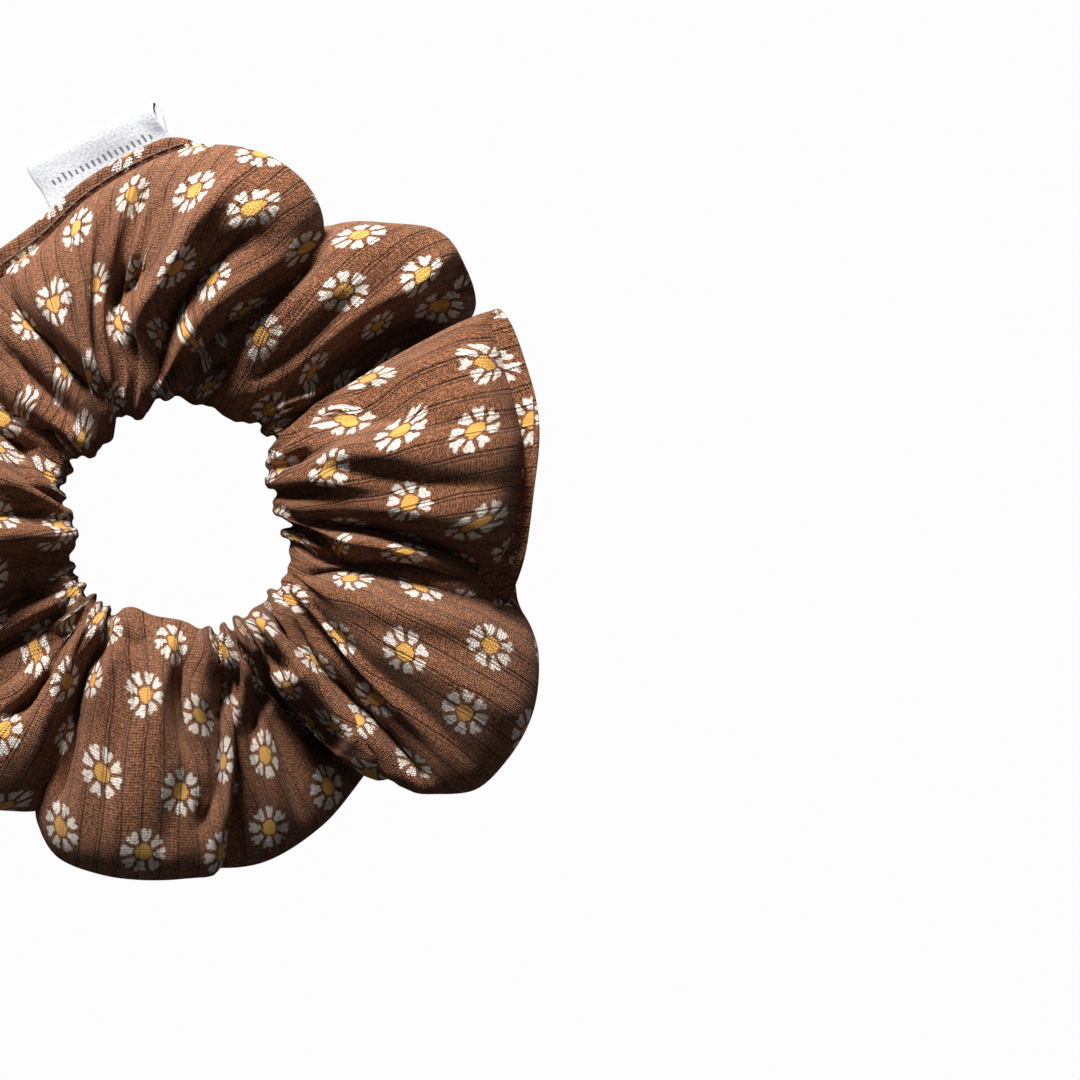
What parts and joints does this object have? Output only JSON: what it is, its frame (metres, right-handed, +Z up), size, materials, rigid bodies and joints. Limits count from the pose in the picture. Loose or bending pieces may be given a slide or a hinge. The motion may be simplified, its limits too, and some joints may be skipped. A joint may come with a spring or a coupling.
{
  "type": "scrunchie",
  "caption": "Gathered hair scrunchie: a ribbed knit tube bunched over a ring of flat elastic, with a folded ribbon tag sewn into its rim seam.",
  "frame": {"origin": "middle of the footprint, tag included, on the surface the scrunchie lies on; the ring's own axis is at x 0.5 mm, y -3.9 mm", "axes": "+Z up along the axis of the hole for the hair; the tag points towards +Y and slightly -X"},
  "size_m": [0.1108, 0.1182, 0.038],
  "materials": {
    "ribbed_knit": "matte",
    "braided_elastic": "matte",
    "white_thread": "satin",
    "brown_thread": "satin",
    "satin_ribbon": "satin"
  },
  "bodies": {
    "cover": {"fabric_cover": "ribbed_knit", "elastic_band": "braided_elastic", "elastic_needle_thread": "white_thread", "elastic_bobbin_thread": "white_thread", "long_seam_needle_thread": "brown_thread", "long_seam_bobbin_thread": "brown_thread", "closing_needle_thread": "brown_thread", "closing_bobbin_thread": "brown_thread", "end_seam_needle_thread": "brown_thread", "end_seam_bobbin_thread": "brown_thread", "tag_sewn_end": "satin_ribbon"},
    "tag": {"tag_loop": "satin_ribbon"}
  },
  "joints": [
    {"name": "tag_fold", "type": "hinge", "parent": "cover", "child": "tag", "pos_m": [-0.01031, 0.04827, 0.015], "axis": [0.9051, 0.4253, 0], "range_deg": [-70, 70], "stiffness_Nm_per_rad": 0.00004}
  ]
}
